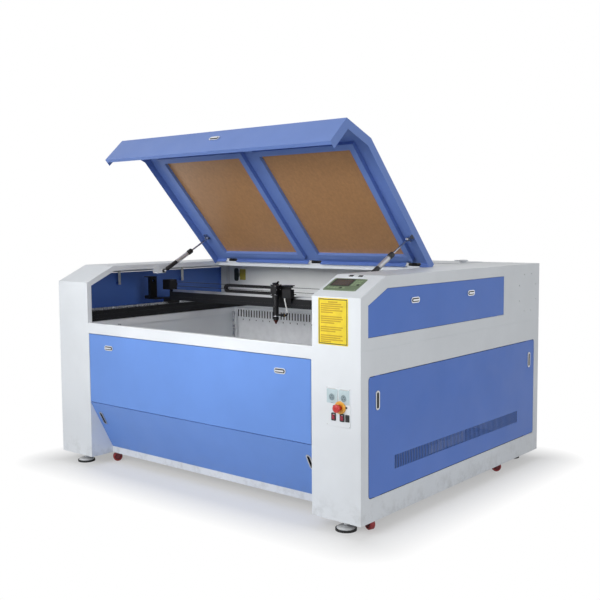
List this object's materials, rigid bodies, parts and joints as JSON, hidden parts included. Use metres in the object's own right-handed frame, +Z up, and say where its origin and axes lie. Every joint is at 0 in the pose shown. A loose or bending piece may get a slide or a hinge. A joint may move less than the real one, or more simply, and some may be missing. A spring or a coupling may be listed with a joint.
{
  "type": "carbon dioxide laser cutting machine",
  "caption": "Free-standing carbon dioxide laser cutter with a white and blue sheet-metal cabinet, raised window lid, gantry, slat bed and rear tube bay",
  "frame": {"origin": "On the floor, under the middle of the machine's overall box: midway between the sides, and midway between the stop button at the front and the exhaust spigots at the back.", "axes": "X runs along the front to the operator's right, Y from the front to the back, Z up."},
  "size_m": [1.9172, 1.636, 1.6338],
  "materials": {
    "amber_acrylic": "tinted acrylic sheet, see-through",
    "belt_rubber": "toothed belt",
    "black_anodised": "black anodised, satin",
    "black_frame": "semi-matt black paint",
    "black_plastic": "moulded, fine texture",
    "blue_paint": "smooth satin powder coat",
    "bright_aluminium": "extruded, fine lengthwise grain",
    "chrome": "polished plate with black inserts",
    "control_panel": "moulded panel with teal covers",
    "deck_paint": "pale satin powder coat",
    "glass": "clear blown glass",
    "grey_plastic": "moulded, fine texture",
    "red_plastic": "moulded, glossy",
    "red_tread": "polyurethane tread",
    "steel": "ground and oiled",
    "white_hose": "flexible tube",
    "white_paint": "smooth satin powder coat"
  },
  "bodies": {
    "cabinet": {"base_frame": "black_frame", "lower_cabinet": "white_paint", "upper_cabinet": "white_paint", "work_deck": "deck_paint", "chamber_rear_wall": "deck_paint", "exhaust_plenum": "deck_paint", "upper_side_panels": "blue_paint", "lower_side_panels": "blue_paint", "lower_front_panel": "blue_paint", "rear_panels": "white_paint", "control_plate": "control_panel", "controller": "grey_plastic", "y_rails": "black_anodised", "fixed_motors": "black_frame", "drive_belts": "belt_rubber", "laser_tube": "glass", "tube_mounts": "black_anodised", "electronics": "grey_plastic", "levelling_feet": "chrome", "lid_supports": "white_paint", "scrap_tray": "deck_paint", "rear_connectors": "black_plastic", "lift_screws": "steel"},
    "lid": {"lid_skin": "blue_paint", "lid_window_frames": "blue_paint", "lid_windows": "amber_acrylic", "lid_fittings": "steel"},
    "lid_latch": {"lid_latch": "chrome"},
    "strut_tube_left": {"strut_tube_left": "black_frame"},
    "strut_tube_right": {"strut_tube_right": "black_frame"},
    "strut_rod_left": {"strut_rod_left": "steel"},
    "strut_rod_right": {"strut_rod_right": "steel"},
    "gantry": {"x_beam": "black_anodised", "x_guide": "bright_aluminium", "gantry_ends": "black_anodised", "x_motor": "black_frame", "x_belt": "belt_rubber", "drag_chain": "black_plastic"},
    "carriage": {"carriage": "black_anodised", "laser_head": "black_anodised", "air_hose": "white_hose"},
    "lens_tube": {"lens_tube": "black_anodised"},
    "table": {"table_frame": "steel", "knife_slats": "bright_aluminium"},
    "y_shaft": {"y_shaft": "steel"},
    "stop_button": {"stop_button": "red_plastic"},
    "rocker_left": {"rocker_left": "red_plastic"},
    "rocker_right": {"rocker_right": "red_plastic"},
    "tube_cover": {"tube_cover": "white_paint"},
    "front_door": {"front_door": "blue_paint"},
    "door_latch_left": {"door_latch_left": "chrome"},
    "door_latch_right": {"door_latch_right": "chrome"},
    "caster_fork_1": {"caster_fork_1": "black_frame"},
    "caster_wheel_1": {"caster_wheel_1": "red_tread"},
    "caster_fork_2": {"caster_fork_2": "black_frame"},
    "caster_wheel_2": {"caster_wheel_2": "red_tread"},
    "caster_fork_3": {"caster_fork_3": "black_frame"},
    "caster_wheel_3": {"caster_wheel_3": "red_tread"},
    "caster_fork_4": {"caster_fork_4": "black_frame"},
    "caster_wheel_4": {"caster_wheel_4": "red_tread"}
  },
  "joints": [
    {"name": "lid_hinge", "type": "hinge", "parent": "cabinet", "child": "lid", "pos_m": [0, 0.16, 1.01], "axis": [1, 0, 0], "range_deg": [0, 47.2]},
    {"name": "lid_latch_turn", "type": "hinge", "parent": "lid", "child": "lid_latch", "pos_m": [0, -0.57765, 1.5917], "axis": [0, -0.6794, 0.7337], "range_deg": [0, 90]},
    {"name": "strut_pivot_left", "type": "hinge", "parent": "cabinet", "child": "strut_tube_left", "pos_m": [-0.655, -0.315, 0.968], "axis": [1, 0, 0], "range_deg": [-24.18, 0.1]},
    {"name": "strut_slide_left", "type": "slide", "parent": "strut_tube_left", "child": "strut_rod_left", "axis": [0, 0.8893, 0.4574], "range_m": [-0.0831, 0.0005]},
    {"name": "strut_pivot_right", "type": "hinge", "parent": "cabinet", "child": "strut_tube_right", "pos_m": [0.655, -0.315, 0.968], "axis": [1, 0, 0], "range_deg": [-24.18, 0.1]},
    {"name": "strut_slide_right", "type": "slide", "parent": "strut_tube_right", "child": "strut_rod_right", "axis": [0, 0.8893, 0.4574], "range_m": [-0.0831, 0.0005]},
    {"name": "gantry_slide", "type": "slide", "parent": "cabinet", "child": "gantry", "axis": [0, 1, 0], "range_m": [-0.36, 0.48]},
    {"name": "carriage_slide", "type": "slide", "parent": "gantry", "child": "carriage", "axis": [1, 0, 0], "range_m": [-0.7, 0.56]},
    {"name": "focus_slide", "type": "slide", "parent": "carriage", "child": "lens_tube", "axis": [0, 0, 1], "range_m": [-0.012, 0.02]},
    {"name": "table_lift", "type": "slide", "parent": "cabinet", "child": "table", "axis": [0, 0, 1], "range_m": [-0.065, 0.205]},
    {"name": "y_shaft_spin", "type": "hinge", "parent": "cabinet", "child": "y_shaft", "pos_m": [0, 0.428, 0.762], "axis": [-1, 0, 0], "range_deg": [-1900, 2500]},
    {"name": "tube_cover_hinge", "type": "hinge", "parent": "cabinet", "child": "tube_cover", "pos_m": [0, 0.752, 1.007], "axis": [-1, 0, 0], "range_deg": [0, 85]},
    {"name": "front_door_hinge", "type": "hinge", "parent": "cabinet", "child": "front_door", "pos_m": [0, -0.762, 0.34], "axis": [1, 0, 0], "range_deg": [0, 95]},
    {"name": "door_latch_turn_left", "type": "hinge", "parent": "front_door", "child": "door_latch_left", "pos_m": [-0.55, -0.768, 0.614], "axis": [0, -1, 0], "range_deg": [0, 90]},
    {"name": "door_latch_turn_right", "type": "hinge", "parent": "front_door", "child": "door_latch_right", "pos_m": [0.55, -0.768, 0.614], "axis": [0, -1, 0], "range_deg": [-90, 0]},
    {"name": "stop_button_push", "type": "slide", "parent": "cabinet", "child": "stop_button", "axis": [0, 1, 0], "range_m": [0, 0.004], "stiffness_N_per_m": 600},
    {"name": "rocker_left_tilt", "type": "hinge", "parent": "cabinet", "child": "rocker_left", "pos_m": [0.824, -0.775, 0.463], "axis": [-1, 0, 0], "range_deg": [0, 16]},
    {"name": "rocker_right_tilt", "type": "hinge", "parent": "cabinet", "child": "rocker_right", "pos_m": [0.865, -0.775, 0.463], "axis": [-1, 0, 0], "range_deg": [0, 16]},
    {"name": "caster_swivel_1", "type": "hinge", "parent": "cabinet", "child": "caster_fork_1", "pos_m": [-0.695, -0.599, 0.06], "axis": [0, 0, 1], "continuous": true},
    {"name": "caster_roll_1", "type": "hinge", "parent": "caster_fork_1", "child": "caster_wheel_1", "pos_m": [-0.703, -0.61286, 0.025], "axis": [-0.866, 0.5, 0], "continuous": true},
    {"name": "caster_swivel_2", "type": "hinge", "parent": "cabinet", "child": "caster_fork_2", "pos_m": [0.894, -0.646, 0.06], "axis": [0, 0, 1], "continuous": true},
    {"name": "caster_roll_2", "type": "hinge", "parent": "caster_fork_2", "child": "caster_wheel_2", "pos_m": [0.90904, -0.65147, 0.025], "axis": [-0.342, -0.9397, 0], "continuous": true},
    {"name": "caster_swivel_3", "type": "hinge", "parent": "cabinet", "child": "caster_fork_3", "pos_m": [-0.695, 0.402, 0.06], "axis": [0, 0, 1], "continuous": true},
    {"name": "caster_roll_3", "type": "hinge", "parent": "caster_fork_3", "child": "caster_wheel_3", "pos_m": [-0.70529, 0.41426, 0.025], "axis": [0.766, 0.6428, 0], "continuous": true},
    {"name": "caster_swivel_4", "type": "hinge", "parent": "cabinet", "child": "caster_fork_4", "pos_m": [0.894, 0.402, 0.06], "axis": [0, 0, 1], "continuous": true},
    {"name": "caster_roll_4", "type": "hinge", "parent": "caster_fork_4", "child": "caster_wheel_4", "pos_m": [0.90429, 0.41426, 0.025], "axis": [0.766, -0.6428, 0], "continuous": true}
  ],
  "couplings": [
    {"joint": "strut_pivot_left", "follows": "lid_hinge", "ratio": -0.51015},
    {"joint": "strut_slide_left", "follows": "lid_hinge", "m_per_rad": -0.10026},
    {"joint": "strut_pivot_right", "follows": "lid_hinge", "ratio": -0.51015},
    {"joint": "strut_slide_right", "follows": "lid_hinge", "m_per_rad": -0.10026},
    {"joint": "y_shaft_spin", "follows": "gantry_slide", "rad_per_m": 88.5}
  ]
}
